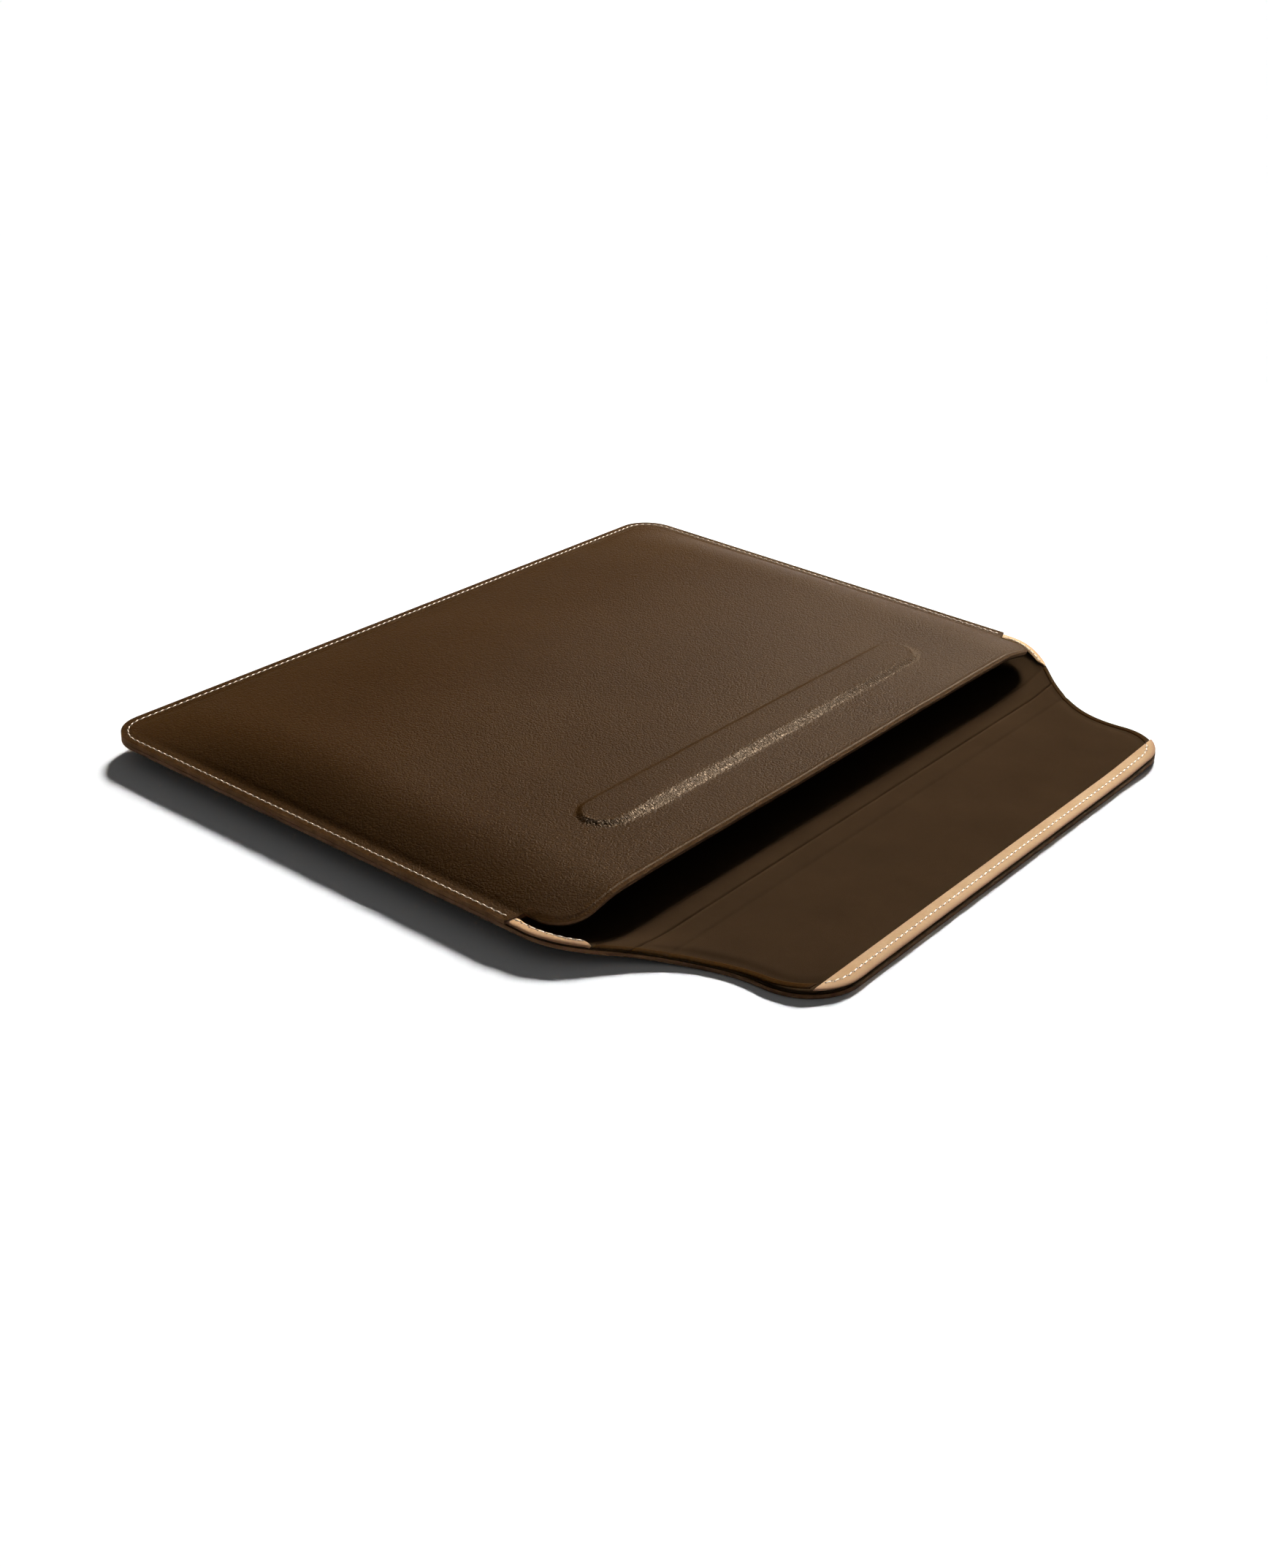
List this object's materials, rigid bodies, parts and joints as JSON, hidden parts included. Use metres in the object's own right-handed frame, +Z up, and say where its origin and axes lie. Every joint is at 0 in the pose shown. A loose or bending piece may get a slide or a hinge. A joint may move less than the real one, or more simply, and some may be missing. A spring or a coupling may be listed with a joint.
{
  "type": "laptop sleeve",
  "caption": "Slim leather laptop sleeve with a stitched edge, a raised magnet bar across the front panel, an open mouth and a fold-over flap lying open.",
  "frame": {"origin": "on the resting surface, below the middle of the sleeve's outline with its flap lying open", "axes": "+X along the mouth, -Y out of the mouth towards the flap's free edge, +Y towards the closed edge, +Z up through the front panel"},
  "size_m": [0.337, 0.306, 0.0195],
  "materials": {
    "leather": "dark brown grained leather, satin",
    "lining": "brown microfibre, matt",
    "board": "grey-brown stiffener board, matt",
    "tan_leather": "natural tan leather, matt",
    "thread": "cream polyester thread",
    "magnet": "nickel-plated magnet",
    "steel": "plain spring steel strip"
  },
  "bodies": {
    "sleeve": {"front_outer_leather": "leather", "back_outer_leather": "leather", "front_lining": "lining", "back_lining": "lining", "front_stiffener_board": "board", "back_stiffener_board": "board", "bar_former": "board", "side_trim_left": "tan_leather", "side_trim_right": "tan_leather", "seam_thread_front": "thread", "seam_thread_back": "thread", "side_trim_thread_left": "thread", "side_trim_thread_right": "thread", "bar_magnet_1": "magnet", "bar_magnet_2": "magnet", "bar_magnet_3": "magnet", "bar_magnet_4": "magnet", "bar_magnet_5": "magnet"},
    "spine": {"spine_outer_leather": "leather", "spine_interlining": "board", "spine_lining": "lining"},
    "flap": {"flap_outer_leather": "leather", "flap_stiffener_board": "board", "flap_steel_strip": "steel", "flap_lining": "lining", "flap_facing": "tan_leather", "flap_thread": "thread"}
  },
  "joints": [
    {"name": "spine_fold", "type": "hinge", "parent": "sleeve", "child": "spine", "pos_m": [0, -0.0795, 0.0028], "axis": [-1, 0, 0], "range_deg": [0, 90]},
    {"name": "flap_fold", "type": "hinge", "parent": "spine", "child": "flap", "pos_m": [0, -0.0985, 0.0028], "axis": [-1, 0, 0], "range_deg": [0, 90]}
  ]
}
